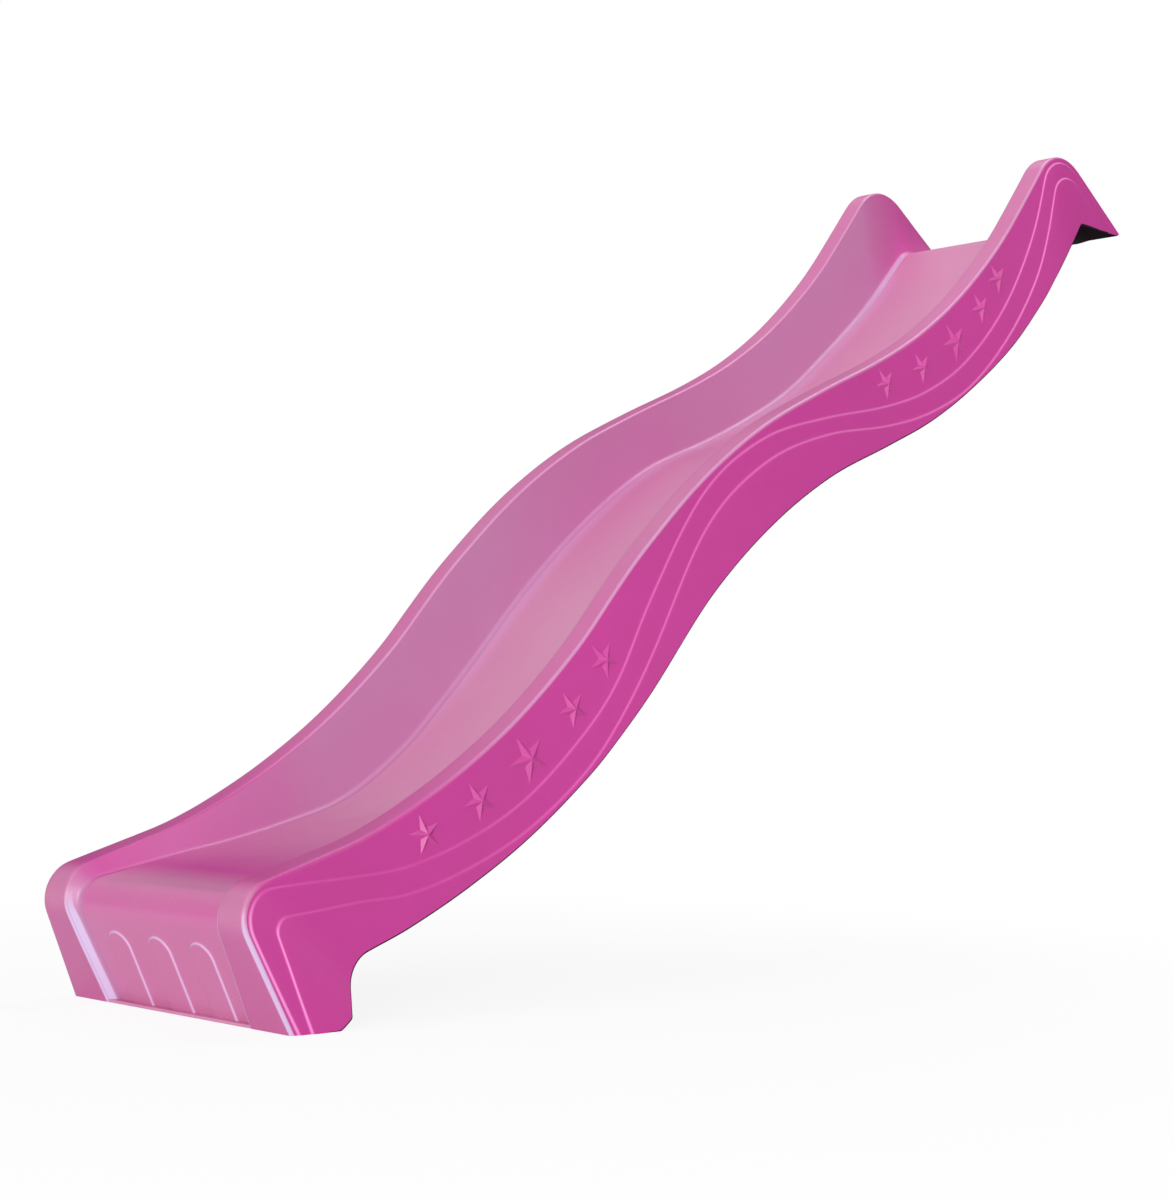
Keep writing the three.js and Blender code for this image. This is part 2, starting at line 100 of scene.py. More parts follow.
# Sliding bed. The middle of one polyethylene moulding, pressed over a mould, that a child
# slides on. It runs from the crest under the ears down the wave to the run-out, flat
# across its width, and its surface is dulled and finely scratched along the slide.
run_length = 2.134
platform_height = 1.45
rim_span = 0.5
rim_width = 0.042
wall_run = 0.03
skirt_depth = 0.23
skirt_draft = math.tan(math.radians(6.5))
shell_thickness = 0.0045
lip_top = platform_height + shell_thickness

crease_radius = 0.01
rim_edge_radius = 0.005
step_height = 0.003
step_width = 0.008
first_step_inset = 0.0115
second_step_inset = 0.03
second_step_top_inset = 0.048

nose_height = 0.192
bed_nose_share = 0.943
first_step_nose_share = 1.026
second_step_nose_share = 0.828
front_lean = math.radians(25.8)
nose_radius = 0.055
bed_nose_radius = 0.04
first_step_nose_radius = 0.043
second_step_nose_radius = 0.02
foot_recess = 0.015
foot_rim_width = 0.094
foot_wall_run = 0.01
sole_start = 0.06
sole_end = 0.082
heel_corner = (0.101, 0.0925)
heel_chamfer = (0.0195, 0.0148)
heel_radius = 0.052

crest_share = 0.925
notch_share = 0.926
rim_ear_shares = (0.9025, 1.118)
first_step_ear_shares = (0.8946, 1.111)
second_step_ear_shares = (0.8997, 1.0876)
crest_radius = 0.045
ear_radius = 0.1
first_step_ear_radius = 0.07
second_step_ear_radius = 0.055
notch_radius = 0.012
rim_end_rise = 0.0015
first_step_back_inset = 0.017
second_step_back_inset = 0.055
edge_back_inset = 0.094
ear_flare = math.tan(math.radians(14))

# The wave: place along the run, the rim's height as a share of the platform height, and
# the depth of bed, first step, second step and lower edge below it, of the skirt depth.
wave_shares = np.array([
    [0.0637, 0.1807, 0.174, 0.222, 0.374, 0.680],
    [0.0989, 0.2034, 0.261, 0.330, 0.496, 0.702],
    [0.1528, 0.2469, 0.420, 0.452, 0.626, 0.741],
    [0.2095, 0.3048, 0.622, 0.552, 0.748, 0.802],
    [0.2690, 0.3828, 0.752, 0.591, 0.835, 0.885],
    [0.3027, 0.4386, 0.804, 0.583, 0.830, 0.946],
    [0.3322, 0.4855, 0.826, 0.400, 0.743, 0.963],
    [0.3993, 0.5752, 0.735, 0.100, 0.343, 0.841],
    [0.4705, 0.6476, 0.611, 0.091, 0.270, 0.754],
    [0.5464, 0.7034, 0.487, 0.217, 0.348, 0.680],
    [0.6275, 0.7566, 0.511, 0.383, 0.539, 0.693],
    [0.6846, 0.8014, 0.546, 0.487, 0.665, 0.737],
    [0.7441, 0.8628, 0.624, 0.552, 0.770, 0.798],
    [0.8065, 0.9476, 0.709, 0.522, 0.783, 0.902],
    [0.8552, 1.0331, 0.867, 0.357, 0.713, 0.989],
    [0.8735, 1.0669, 0.913, 0.152, 0.539, 0.998],
])

# Stations along the slide: up the apron, round the nose, to the wave, along it, over the
# ear or crest, and along the lip. Each is cut into fine steps.
fine = 8
foot_counts = [3, 6, 3]
wave_count = 30
nose_row = 3 * fine
crown_row = 9 * fine
wave_row = 12 * fine
lip_row = 53 * fine
soft_passes = 12
crisp_passes = 4


def between(start, end, steps):
    return [start + (end - start) * k / steps for k in range(steps)]


def turned_corner(before, corner, after, radius, steps, limit=0.45):
    back = before - corner
    onward = after - corner
    back_length = np.linalg.norm(back, axis=-1, keepdims=True)
    onward_length = np.linalg.norm(onward, axis=-1, keepdims=True)
    back = back / back_length
    onward = onward / onward_length
    half = np.arccos(np.clip((back * onward).sum(axis=-1, keepdims=True), -1, 1)) / 2
    tangent = np.minimum(radius / np.tan(half), limit * np.minimum(back_length, onward_length))
    arc_radius = tangent * np.tan(half)
    middle = back + onward
    middle = middle / np.linalg.norm(middle, axis=-1, keepdims=True)
    centre = corner + middle * tangent / np.cos(half)
    out = (corner + back * tangent - centre) / arc_radius
    angles = [(math.pi - 2 * half) * k / steps for k in range(steps + 1)]
    return [centre + (out * np.cos(angle) - back * np.sin(angle)) * arc_radius for angle in angles]


def corner_line(start, corner, end, radius, counts):
    before, around, after = [fine * count for count in counts]
    arc = turned_corner(start, corner, end, radius, around, limit=0.95)
    return between(start, arc[0], before) + arc[:-1] + between(arc[-1], end, after) + [end]


def relaxed(line, passes):
    line = np.array(line)
    for _ in range(passes):
        line[1:-1] = (line[:-2] + 2 * line[1:-1] + line[2:]) / 4
    return line


def wave_value(x, column):
    places = wave_shares[:, 0] * run_length
    values = wave_shares[:, column]
    slopes = np.empty(len(places))
    slopes[1:-1] = (values[2:] - values[:-2]) / (places[2:] - places[:-2])
    slopes[0] = (values[1] - values[0]) / (places[1] - places[0])
    slopes[-1] = (values[-1] - values[-2]) / (places[-1] - places[-2])
    k = int(np.clip(np.searchsorted(places, x) - 1, 0, len(places) - 2))
    span = places[k + 1] - places[k]
    t = min(max((x - places[k]) / span, 0), 1)
    return (values[k] * (1 + 2 * t) * (1 - t) ** 2 + slopes[k] * span * t * (1 - t) ** 2
            + values[k + 1] * t * t * (3 - 2 * t) - slopes[k + 1] * span * t * t * (1 - t))


def below_rim(x, column):
    depth = wave_value(x, column) * skirt_depth if column > 1 else 0
    return np.array([x, wave_value(x, 1) * platform_height - depth])


def front_point(inset, height):
    return np.array([inset / math.cos(front_lean) - height * math.tan(front_lean), height])


def share_point(run_share, height_share):
    return np.array([run_share * run_length, height_share * platform_height])


wave_places = np.linspace(wave_shares[0, 0], wave_shares[-1, 0], wave_count * fine + 1) * run_length


def wave_line(column):
    return [below_rim(x, column) for x in wave_places]


def foot_line(column, foot_inset, top_inset, top_height, radius, counts):
    return corner_line(
        front_point(foot_inset, 0), front_point(top_inset, top_height),
        below_rim(wave_places[0], column), radius, counts)


def head_line(column, corner, end, radius, counts):
    return corner_line(below_rim(wave_places[-1], column), corner, np.array(end), radius, counts)


def whole_line(foot, column, head):
    return relaxed(foot[:-1] + wave_line(column) + head[1:], soft_passes)


rim_foot = foot_line(1, 0, 0, nose_height, nose_radius, foot_counts)
rim_end = (run_length, lip_top + rim_end_rise)
rim_head = head_line(1, share_point(*rim_ear_shares), rim_end, ear_radius, (1, 7, 8))
rim_line = whole_line(rim_foot, 1, rim_head)

bed_foot = foot_line(
    2, foot_recess, foot_recess, bed_nose_share * nose_height, bed_nose_radius, foot_counts)
crest = np.array([crest_share * run_length, lip_top])
bed_head = head_line(2, crest, (run_length, lip_top), crest_radius, (7, 3, 6))
bed_line = whole_line(bed_foot, 2, bed_head)

first_step_foot = foot_line(
    3, first_step_inset, first_step_inset, first_step_nose_share * nose_height,
    first_step_nose_radius, foot_counts)
first_step_end = (run_length - first_step_back_inset, platform_height)
first_step_head = head_line(
    3, share_point(*first_step_ear_shares), first_step_end, first_step_ear_radius, (1, 7, 8))
first_step_line = whole_line(first_step_foot, 3, first_step_head)

second_step_foot = foot_line(
    4, second_step_inset, second_step_top_inset, second_step_nose_share * nose_height,
    second_step_nose_radius, (4, 4, 4))
second_step_end = (run_length - second_step_back_inset, platform_height)
second_step_head = head_line(
    4, share_point(*second_step_ear_shares), second_step_end, second_step_ear_radius, (4, 5, 7))
second_step_line = whole_line(second_step_foot, 4, second_step_head)

# The lower edge: flat on the ground, a chamfered heel, a rounding up into the wave, and a
# rounded notch under the lip.
foot_end = below_rim(wave_places[0], 5)
chamfer_top = np.array([sole_end + heel_chamfer[0], heel_chamfer[1]])
heel_arc = turned_corner(
    chamfer_top, np.array(heel_corner), foot_end, heel_radius, 5 * fine - 1, limit=0.95)
heel_line = (
    between(np.array([sole_start, 0]), np.array([sole_end, 0]), 2 * fine)
    + between(np.array([sole_end, 0]), chamfer_top, fine)
    + between(chamfer_top, heel_arc[0], 4 * fine) + heel_arc + [foot_end])
notch_corner = np.array([notch_share * run_length, platform_height])
edge_end = (run_length - edge_back_inset, platform_height)
notch_line = head_line(5, notch_corner, edge_end, notch_radius, (9, 1, 6))
edge_line = relaxed(heel_line[:-1] + wave_line(5) + notch_line[1:], crisp_passes)
edge_line[:2 * fine - crisp_passes, 1] = 0

# Widths of rim and wall change round the foot, and the rim widens again behind the ear.
rows = len(rim_line)
row_numbers = np.arange(rows) / fine
foot_rows = np.arange(13)
foot_rim_shares = [1, 0.8, 0.6, 0.45, 0.4, 0.35, 0.3, 0.25, 0.2, 0.15, 0.1, 0.04, 0]
foot_wall_shares = [1, 1, 1, 1, 0.95, 0.9, 0.8, 0.7, 0.6, 0.5, 0.3, 0.15, 0]
rim_share = relaxed(np.interp(row_numbers, foot_rows, foot_rim_shares), soft_passes)
wall_share = relaxed(np.interp(row_numbers, foot_rows, foot_wall_shares), soft_passes)
# How far up the foot front the painted highlights on wall strip and rim reach.
front_highlight_share = relaxed(np.interp(row_numbers, [3, 6.6], [1, 0]), soft_passes)
ear_row = int(np.argmax(rim_line[:, 1]))
ear_drop = np.where(np.arange(rows) > ear_row, rim_line[ear_row, 1] - rim_line[:, 1], 0)
rim_widths = rim_width + rim_share * (foot_rim_width - rim_width) + ear_flare * ear_drop
wall_runs = wall_run + wall_share * (foot_wall_run - wall_run)

# The side panel leans outwards as it goes down from the rim's crown above it.
crown_count = 400
crown_passes = 30
crown_places = np.linspace(rim_line[:, 0].min(), rim_line[-1, 0], crown_count)
crown_line = rim_line[crown_row:ear_row + 1]
crown_heights = relaxed(np.interp(crown_places, crown_line[:, 0], crown_line[:, 1]), crown_passes)


def on_panel(line, relief):
    crown = np.interp(line[..., 0], crown_places, crown_heights)
    y = rim_span / 2 + skirt_draft * (crown - line[..., 1]) + relief
    return np.stack([line[..., 0], y, line[..., 1]], axis=-1)


def towards(start, end, distance):
    way = end - start
    return start + way * distance / np.linalg.norm(way, axis=-1, keepdims=True)


def flat_step(low, high, start_relief, steps):
    turns = [(1 - math.cos(math.pi * k / steps)) / 2 for k in range(steps + 1)]
    return [on_panel(low + (high - low) * k / steps, start_relief + step_height * turns[k])
            for k in range(steps + 1)]


# Half of the shell, from the middle of the bed over the rim to the lower edge. Pieces
# part on flat stretches, a little way off each rounding.
seam_margin = 0.004
# A thin strip above each panel's lower edge takes the near-black underside colour: a painted shade
# line under the edge.
shaded_edge_height = 0.0022
rim_out = on_panel(rim_line, 0)
rim_in = rim_out - rim_widths[:, None] * np.array([0, 1, 0])
bed_middle = np.stack([bed_line[:, 0], np.zeros(rows), bed_line[:, 1]], axis=-1)
bed_edge = bed_middle + (rim_in[:, 1] - wall_runs)[:, None] * np.array([0, 1, 0])
crease = turned_corner(bed_middle, bed_edge, rim_in, crease_radius, 10)
inner_round = turned_corner(bed_edge, rim_in, rim_out, rim_edge_radius, 6)
outer_round = turned_corner(rim_in, rim_out, on_panel(first_step_line, 0), rim_edge_radius, 6)
half_step = step_width / 2
rim_flat = np.stack([rim_line[:, 0], rim_line[:, 1]], axis=-1)
first_step = flat_step(
    towards(first_step_line, rim_flat, half_step),
    towards(first_step_line, second_step_line, half_step), 0, 8)
second_step = flat_step(
    towards(second_step_line, first_step_line, half_step),
    towards(second_step_line, edge_line, half_step), step_height, 8)
lower_edge = on_panel(edge_line, 2 * step_height)
shaded_edge_line = towards(lower_edge, second_step[-1], shaded_edge_height)
bed_side = towards(crease[0], bed_middle, seam_margin)
wall_top = towards(inner_round[0], crease[-1], seam_margin / 4)
panel_top = towards(outer_round[-1], first_step[0], seam_margin / 2)

half_columns = between(bed_middle, bed_side, 14)
bed_column = len(half_columns)
half_columns += [bed_side] + crease + between(crease[-1], wall_top, 10)[1:]
wall_column = len(half_columns)
half_columns += [wall_top] + inner_round
half_columns += between(inner_round[-1], outer_round[0], 4)[1:] + outer_round
panel_column = len(half_columns)
half_columns += between(panel_top, first_step[0], 7) + first_step
first_step_column = len(half_columns) - panel_column - len(first_step)
half_columns += between(first_step[-1], second_step[0], 7)[1:] + second_step
second_step_column = len(half_columns) - panel_column - len(second_step)
half_columns += between(second_step[-1], shaded_edge_line, 8)[1:] + [shaded_edge_line, lower_edge]
half_shell = np.stack(half_columns, axis=1)
other_half = half_shell * np.array([1, -1, 1])


def both_halves(first_row, last_row, last_column):
    right = half_shell[first_row:last_row + 1, last_column:0:-1]
    left = other_half[first_row:last_row + 1, :last_column + 1]
    return np.concatenate([right, left], axis=1)


def one_side(side, first_column, last_column):
    if side == "left":
        return other_half[:, first_column:last_column + 1]
    return half_shell[:, first_column:last_column + 1][:, ::-1]


def pick_edges(piece, chosen):
    bpy.ops.object.mode_set(mode="EDIT")
    bpy.ops.mesh.select_mode(type="EDGE")
    bpy.ops.mesh.select_all(action="DESELECT")
    bpy.ops.object.mode_set(mode="OBJECT")
    piece.data.edges.foreach_set("select", chosen)


# How tightly the sheet is bent outwards over the mould, across the slide: 0 where it is
# flat or bent inwards, and 1 where it is bent round the tight radius or less.
# This bend measure places painted highlights on the outward roundings.
tight_radius = 0.012


def tightness(surface):
    ways = np.diff(surface, axis=1)
    lengths = np.linalg.norm(ways, axis=-1)
    ways = ways / lengths[..., None]
    bends = np.diff(ways, axis=1) * 2 / (lengths[:, :-1] + lengths[:, 1:])[..., None]
    outwards = np.cross(ways[:, :-1], np.gradient(surface, axis=0)[:, 1:-1])
    outwards = outwards / np.linalg.norm(outwards, axis=-1, keepdims=True)
    inwards = (bends * outwards).sum(axis=-1)
    return np.pad(np.clip(-inwards * tight_radius, 0, 1), ((0, 0), (1, 1)))


# How much the sheet is hazed pale along the slide, as shares of the full haze at rows counted
# from the ground: partly rubbed dull by wear, partly a painted sheen of grazing light. The
# run-out and the back of the ears stay nearly clear, so they stay a deeper pink.
wear_and_sheen_rows = [0, 3, 5, 7, 8.2, 9.2, 10.6, 14, 17, 20, 23, 28, 31, 36, 42, 44, 47, 50, 60]
wear_and_sheen_shares = {
    "bed": [
        0.75, 0.68, 0.52, 0.62, 0.7, 0.75, 0, 0.6, 1, 1,
        1, 0.7, 0.65, 0.9, 0.85, 0.85, 0.8, 0.7, 0.3],
    "wall": [
        1, 1, 1, 0.8, 0.35, 0.05, 0.2, 0.6, 1, 1,
        1, 0.75, 0.75, 1, 0.95, 0.75, 0.48, 0.2, 0.12],
    "rim": [
        0.5, 0.5, 0.8, 0.75, 0.35, 0.1, 0.2, 0.2, 0.4, 0.5,
        0.5, 0.35, 0.3, 0.4, 0.5, 0.5, 0.1, 0, 0],
}


def wear_and_sheen(kind, first_row, last_row):
    return np.interp(row_numbers[first_row:last_row + 1], wear_and_sheen_rows, wear_and_sheen_shares[kind])


def write_marks(piece, name, values):
    marks = piece.data.attributes.new(name, "FLOAT", "POINT")
    marks.data.foreach_set("value", values.reshape(-1))


# A grid is laid on the mould's surface, its open side is thickened downwards, and the
# cut edges are eased. Its UV map runs in metres, across and along the slide.
cut_edge_radius = 0.0008
smooth_angle = math.radians(40)


def moulded_sheet(name, plastic, surface, wear_and_sheen_per_row, highlight_mark=None, free_edge=None, shaded_edge_faces=None):
    row_count, column_count = surface.shape[:2]
    bpy.ops.object.select_all(action="DESELECT")
    bpy.ops.mesh.primitive_grid_add(
        x_subdivisions=column_count - 1, y_subdivisions=row_count - 1, size=1)
    piece = bpy.context.object
    piece.name = name
    piece.data.name = name
    piece.data.vertices.foreach_set("co", surface.reshape(-1))
    write_marks(piece, "wear_and_sheen", np.repeat(wear_and_sheen_per_row, column_count))
    # This mark says where a pale highlight is painted on.
    if highlight_mark is not None:
        write_marks(piece, "streak_and_highlight", highlight_mark)
    row_ways = np.diff(surface, axis=0, prepend=surface[:1])
    column_ways = np.diff(surface, axis=1, prepend=surface[:, :1])
    along = np.linalg.norm(row_ways, axis=-1).cumsum(axis=0)
    across = np.linalg.norm(column_ways, axis=-1).cumsum(axis=1)
    corners = np.empty(len(piece.data.loops), dtype=int)
    piece.data.loops.foreach_get("vertex_index", corners)
    flat_places = np.stack([across.reshape(-1), along.reshape(-1)], axis=-1)[corners]
    piece.data.uv_layers.active.data.foreach_set("uv", flat_places.reshape(-1))
    piece.data.update()

    piece.data.materials.append(plastic)
    piece.data.materials.append(underside)
    if shaded_edge_faces is not None:
        piece.data.polygons.foreach_set("material_index", shaded_edge_faces.reshape(-1))
    wall = piece.modifiers.new("wall", "SOLIDIFY")
    wall.thickness = shell_thickness
    wall.offset = -1
    wall.use_even_offset = True
    wall.material_offset = 1
    # Free cut edges take the underside colour too, a painted shade.
    wall.material_offset_rim = 0 if free_edge is None else 1
    bpy.ops.object.modifier_apply(modifier="wall")
    places = np.empty(3 * len(piece.data.vertices))
    piece.data.vertices.foreach_get("co", places)
    places[2::3] = np.maximum(places[2::3], 0)
    piece.data.vertices.foreach_set("co", places)

    if free_edge is not None:
        on_edge = np.tile(free_edge.reshape(-1), 2)
        ends = np.empty(2 * len(piece.data.edges), dtype=int)
        piece.data.edges.foreach_get("vertices", ends)
        ends = ends.reshape(-1, 2)
        same_face = (ends[:, 0] < free_edge.size) == (ends[:, 1] < free_edge.size)
        pick_edges(piece, on_edge[ends[:, 0]] & on_edge[ends[:, 1]] & same_face)
        bpy.ops.object.mode_set(mode="EDIT")
        bpy.ops.mesh.bevel(offset=cut_edge_radius, segments=2, affect="EDGES")
        bpy.ops.object.mode_set(mode="OBJECT")
    bpy.ops.object.shade_smooth_by_angle(angle=smooth_angle)
    return piece


# Every node, of materials, groups and world, is added and wired with these two.
def add_node(tree, kind, x, y, **settings):
    made = tree.nodes.new(kind)
    made.location = (x, y)
    for key, value in settings.items():
        setattr(made, key, value)
    return made


def wire(tree, start, outlet, end, inlet):
    tree.links.new(start.outputs[outlet], end.inputs[inlet])


# Moulded grain: the fine orange-peel skin of a hot-pressed sheet, and the slow cloudy
# change of colour that pigment leaves in it.
grain = bpy.data.node_groups.new("moulded_grain", "ShaderNodeTree")
grain.interface.new_socket("Place", in_out="INPUT", socket_type="NodeSocketVector")
grain.interface.new_socket("Peel Scale", in_out="INPUT", socket_type="NodeSocketFloat")
grain.interface.new_socket("Height", in_out="OUTPUT", socket_type="NodeSocketFloat")
grain.interface.new_socket("Cloud", in_out="OUTPUT", socket_type="NodeSocketFloat")
grain_in = add_node(grain, "NodeGroupInput", -600, 0)
grain_out = add_node(grain, "NodeGroupOutput", 600, 0)
peel = add_node(grain, "ShaderNodeTexNoise", -300, 200)
peel.inputs["Detail"].default_value = 3
peel.inputs["Roughness"].default_value = 0.55
cloud = add_node(grain, "ShaderNodeTexNoise", -300, -200)
cloud.inputs["Scale"].default_value = 4.5
cloud.inputs["Detail"].default_value = 4
cloud_range = add_node(grain, "ShaderNodeMapRange", 100, -200)
cloud_range.inputs["From Min"].default_value = 0.3
cloud_range.inputs["From Max"].default_value = 0.7
wire(grain, grain_in, "Place", peel, "Vector")
wire(grain, grain_in, "Peel Scale", peel, "Scale")
wire(grain, grain_in, "Place", cloud, "Vector")
wire(grain, peel, "Fac", grain_out, "Height")
wire(grain, cloud, "Fac", cloud_range, "Value")
wire(grain, cloud_range, "Result", grain_out, "Cloud")

# Sliding scuffs: thin scratches that run the way the children slide, in patches.
scuffs = bpy.data.node_groups.new("sliding_scuffs", "ShaderNodeTree")
scuffs.interface.new_socket("Across And Along", in_out="INPUT", socket_type="NodeSocketVector")
scuffs.interface.new_socket("Scratch", in_out="OUTPUT", socket_type="NodeSocketFloat")
scuffs.interface.new_socket("Haze", in_out="OUTPUT", socket_type="NodeSocketFloat")
scuffs_in = add_node(scuffs, "NodeGroupInput", -900, 0)
scuffs_out = add_node(scuffs, "NodeGroupOutput", 700, 0)
streak_and_highlight = add_node(scuffs, "ShaderNodeMapping", -650, 200)
streak_and_highlight.inputs["Scale"].default_value = (420, 7, 1)
streaks = add_node(scuffs, "ShaderNodeTexNoise", -400, 200)
streaks.inputs["Scale"].default_value = 1
streaks.inputs["Detail"].default_value = 2
streak_range = add_node(scuffs, "ShaderNodeMapRange", -100, 200)
streak_range.inputs["From Min"].default_value = 0.6
streak_range.inputs["From Max"].default_value = 0.75
patches = add_node(scuffs, "ShaderNodeTexNoise", -400, -200)
patches.inputs["Scale"].default_value = 9
patches.inputs["Detail"].default_value = 3
patch_range = add_node(scuffs, "ShaderNodeMapRange", -100, -200)
patch_range.inputs["From Min"].default_value = 0.35
patch_range.inputs["From Max"].default_value = 0.7
in_patches = add_node(scuffs, "ShaderNodeMath", 300, 200, operation="MULTIPLY")
wire(scuffs, scuffs_in, "Across And Along", streak_and_highlight, "Vector")
wire(scuffs, scuffs_in, "Across And Along", patches, "Vector")
wire(scuffs, streak_and_highlight, "Vector", streaks, "Vector")
wire(scuffs, streaks, "Fac", streak_range, "Value")
wire(scuffs, patches, "Fac", patch_range, "Value")
wire(scuffs, streak_range, "Result", in_patches, 0)
wire(scuffs, patch_range, "Result", in_patches, 1)
wire(scuffs, in_patches, "Value", scuffs_out, "Scratch")
wire(scuffs, patch_range, "Result", scuffs_out, "Haze")


def linear(red, green, blue):
    return tuple(((part / 255 + 0.055) / 1.055) ** 2.4 if part > 10 else part / 255 / 12.92
                 for part in (red, green, blue)) + (1,)


# Wear and sheen haze: where children slide and climb, the satin skin turns paler, a little
# unevenly; the same pale haze also stands in for a sheen of grazing light, a painted sheen.
haze = bpy.data.node_groups.new("wear_and_sheen_haze", "ShaderNodeTree")
for socket in ("Wear And Sheen", "Cloud", "Amount"):
    haze.interface.new_socket(socket, in_out="INPUT", socket_type="NodeSocketFloat")
haze.interface.new_socket("Haze", in_out="OUTPUT", socket_type="NodeSocketFloat")
haze_in = add_node(haze, "NodeGroupInput", -800, 0)
haze_out = add_node(haze, "NodeGroupOutput", 700, 0)
haze_cloud = add_node(haze, "ShaderNodeMapRange", -200, -200)
haze_cloud.inputs["To Min"].default_value = 0.88
haze_in_cloud = add_node(haze, "ShaderNodeMath", 100, 0, operation="MULTIPLY")
haze_full = add_node(haze, "ShaderNodeMath", 400, 0, operation="MULTIPLY")
wire(haze, haze_in, "Cloud", haze_cloud, "Value")
wire(haze, haze_in, "Wear And Sheen", haze_in_cloud, 0)
wire(haze, haze_cloud, "Result", haze_in_cloud, 1)
wire(haze, haze_in_cloud, "Value", haze_full, 0)
wire(haze, haze_in, "Amount", haze_full, 1)
wire(haze, haze_full, "Value", haze_out, "Haze")

# Painted corner highlights: where the sheet turns tightly round a corner of the mould, or
# along a step, the pink is painted pale, as a highlight that such roundings catch.
corners = bpy.data.node_groups.new("painted_corner_highlights", "ShaderNodeTree")
for socket in ("Highlight Mask", "Cloud", "Amount"):
    corners.interface.new_socket(socket, in_out="INPUT", socket_type="NodeSocketFloat")
corners.interface.new_socket("Highlight", in_out="OUTPUT", socket_type="NodeSocketFloat")
corners_in = add_node(corners, "NodeGroupInput", -700, 0)
corners_out = add_node(corners, "NodeGroupOutput", 700, 0)
corners_fade = add_node(
    corners, "ShaderNodeMapRange", -400, 200, interpolation_type="SMOOTHSTEP")
corners_fade.inputs["From Min"].default_value = 0.1
corners_cloud = add_node(corners, "ShaderNodeMapRange", -400, -200)
corners_cloud.inputs["To Min"].default_value = 0.8
corners_clouded = add_node(corners, "ShaderNodeMath", 0, 0, operation="MULTIPLY")
corners_full = add_node(corners, "ShaderNodeMath", 300, 0, operation="MULTIPLY")
wire(corners, corners_in, "Highlight Mask", corners_fade, "Value")
wire(corners, corners_in, "Cloud", corners_cloud, "Value")
wire(corners, corners_fade, "Result", corners_clouded, 0)
wire(corners, corners_cloud, "Result", corners_clouded, 1)
wire(corners, corners_clouded, "Value", corners_full, 0)
wire(corners, corners_in, "Amount", corners_full, 1)
wire(corners, corners_full, "Value", corners_out, "Highlight")


# Pink polyethylene: a satin plastic, coloured right through, with worn places a little
# paler and duller than the rest. The pale haze is partly a painted sheen, and the pale
# corners are painted highlights.
grain_depth = 0.00004
worn_roughness = 0.08
cloud_share = 0.965


def pink_plastic(name, haze_colour, haze_amount, highlight_amount, highlight_colour,
                 scratch_amount=0.1, roughness=0.36, specular=0.8):
    material = bpy.data.materials.new(name)
    material.use_nodes = True
    tree = material.node_tree
    shader = tree.nodes["Principled BSDF"]
    shader.inputs["IOR"].default_value = 1.5
    shader.inputs["Specular IOR Level"].default_value = specular
    place = add_node(tree, "ShaderNodeTexCoord", -1700, 0)
    skin = add_node(tree, "ShaderNodeGroup", -1400, 200, node_tree=grain)
    skin.inputs["Peel Scale"].default_value = 260
    worn = add_node(tree, "ShaderNodeGroup", -1400, -200, node_tree=scuffs)
    wear_and_sheen_attribute = add_node(tree, "ShaderNodeAttribute", -1400, 500, attribute_name="wear_and_sheen")
    dull = add_node(tree, "ShaderNodeGroup", -1100, 500, node_tree=haze)
    dull.inputs["Amount"].default_value = haze_amount
    tint = add_node(tree, "ShaderNodeMix", -1100, 200, data_type="RGBA")
    tint.inputs["A"].default_value = linear(*pink)
    tint.inputs["B"].default_value = linear(*[part * cloud_share for part in pink])
    hazed = add_node(tree, "ShaderNodeMix", -750, 200, data_type="RGBA")
    hazed.inputs["B"].default_value = linear(*haze_colour)
    paler = add_node(tree, "ShaderNodeMix", -400, 200, data_type="RGBA")
    paler.inputs["B"].default_value = linear(*pale_pink)
    # This mark places the painted highlights.
    highlight_attribute = add_node(tree, "ShaderNodeAttribute", -1400, 800, attribute_name="streak_and_highlight")
    highlight_mark = add_node(tree, "ShaderNodeGroup", -1100, 800, node_tree=corners)
    highlight_mark.inputs["Amount"].default_value = highlight_amount
    highlighted = add_node(tree, "ShaderNodeMix", -150, 300, data_type="RGBA")
    highlighted.inputs["B"].default_value = linear(*highlight_colour)
    wear = add_node(tree, "ShaderNodeMath", -750, -100, operation="MULTIPLY")
    wear.inputs[1].default_value = scratch_amount
    dulled = add_node(tree, "ShaderNodeMapRange", -400, -200)
    dulled.inputs["To Min"].default_value = roughness
    dulled.inputs["To Max"].default_value = roughness + worn_roughness
    bump = add_node(tree, "ShaderNodeBump", -300, -450)
    bump.inputs["Strength"].default_value = 0.5
    bump.inputs["Distance"].default_value = grain_depth
    wire(tree, place, "Object", skin, "Place")
    wire(tree, wear_and_sheen_attribute, "Fac", dull, "Wear And Sheen")
    wire(tree, skin, "Cloud", dull, "Cloud")
    wire(tree, place, "UV", worn, "Across And Along")
    wire(tree, skin, "Cloud", tint, "Factor")
    wire(tree, tint, "Result", hazed, "A")
    wire(tree, dull, "Haze", hazed, "Factor")
    wire(tree, hazed, "Result", paler, "A")
    wire(tree, worn, "Scratch", wear, 0)
    wire(tree, wear, "Value", paler, "Factor")
    wire(tree, highlight_attribute, "Fac", highlight_mark, "Highlight Mask")
    wire(tree, skin, "Cloud", highlight_mark, "Cloud")
    wire(tree, paler, "Result", highlighted, "A")
    wire(tree, highlight_mark, "Highlight", highlighted, "Factor")
    wire(tree, highlighted, "Result", shader, "Base Color")
    wire(tree, worn, "Haze", dulled, "Value")
    wire(tree, dulled, "Result", shader, "Roughness")
    wire(tree, skin, "Height", bump, "Height")
    wire(tree, bump, "Normal", shader, "Normal")
    return material


# The underside was never against the mould, so it is matt and rougher. Its near-black
# colour is a painted shade: the plastic is pink right through, and only shadow makes it dark.
underside_grain_depth = 0.0002
underside_cloud_share = 0.85


